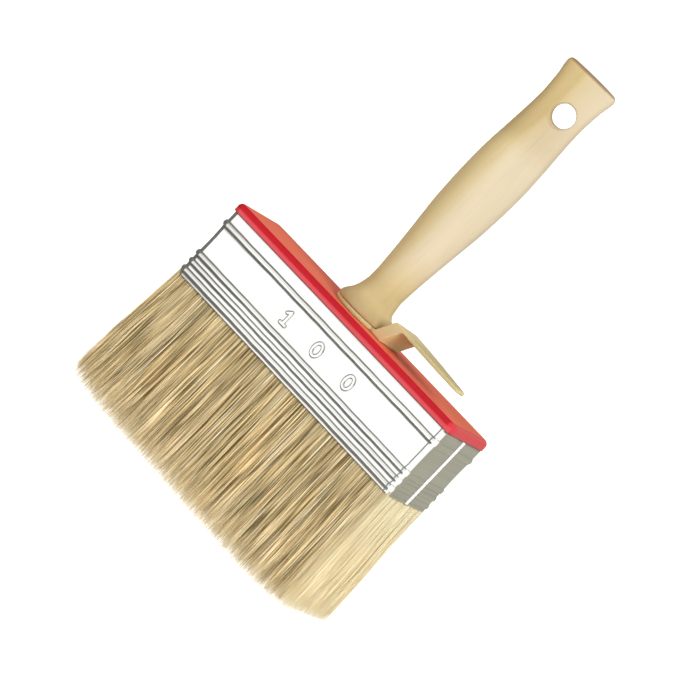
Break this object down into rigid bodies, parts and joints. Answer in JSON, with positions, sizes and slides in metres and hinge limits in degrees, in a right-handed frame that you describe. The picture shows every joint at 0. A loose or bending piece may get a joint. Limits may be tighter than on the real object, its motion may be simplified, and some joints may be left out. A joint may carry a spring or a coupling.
{
  "type": "block paint brush",
  "caption": "Wide flat paste brush with an upright wooden handle, a hanging hole, a bucket hook over a red plastic cap, a beaded metal ferrule and natural bristle",
  "frame": {"origin": "bottom centre of the bounding box, on the plane of the bristle tips, midway along the width and through the thickness", "axes": "+Z runs from the bristle tips to the handle end, X runs along the 100 mm width with the bucket hook towards +X, the front face is -Y"},
  "size_m": [0.1041, 0.0326, 0.1752],
  "materials": {
    "lacquered_wood": "pale wood colour with a thin satin lacquer",
    "tan_plastic": "moulded tan plastic, semi gloss",
    "red_plastic": "moulded red plastic, glossy",
    "tinplate": "bright tinned steel sheet",
    "resin": "set amber resin",
    "spacer_wood": "plain sawn wood",
    "bristle": "natural hog bristle, tan with pale tips and some dark hairs",
    "zinc_steel": "zinc plated steel"
  },
  "bodies": {
    "root": {"handle": "lacquered_wood", "bucket_hook": "tan_plastic", "cap": "red_plastic", "ferrule": "tinplate", "setting_resin": "resin", "spacer_strip": "spacer_wood", "bristles_front": "bristle", "bristles_back": "bristle", "bristles_left": "bristle", "bristles_right": "bristle", "screw_washer": "zinc_steel", "handle_screw": "zinc_steel"}
  },
  "joints": []
}
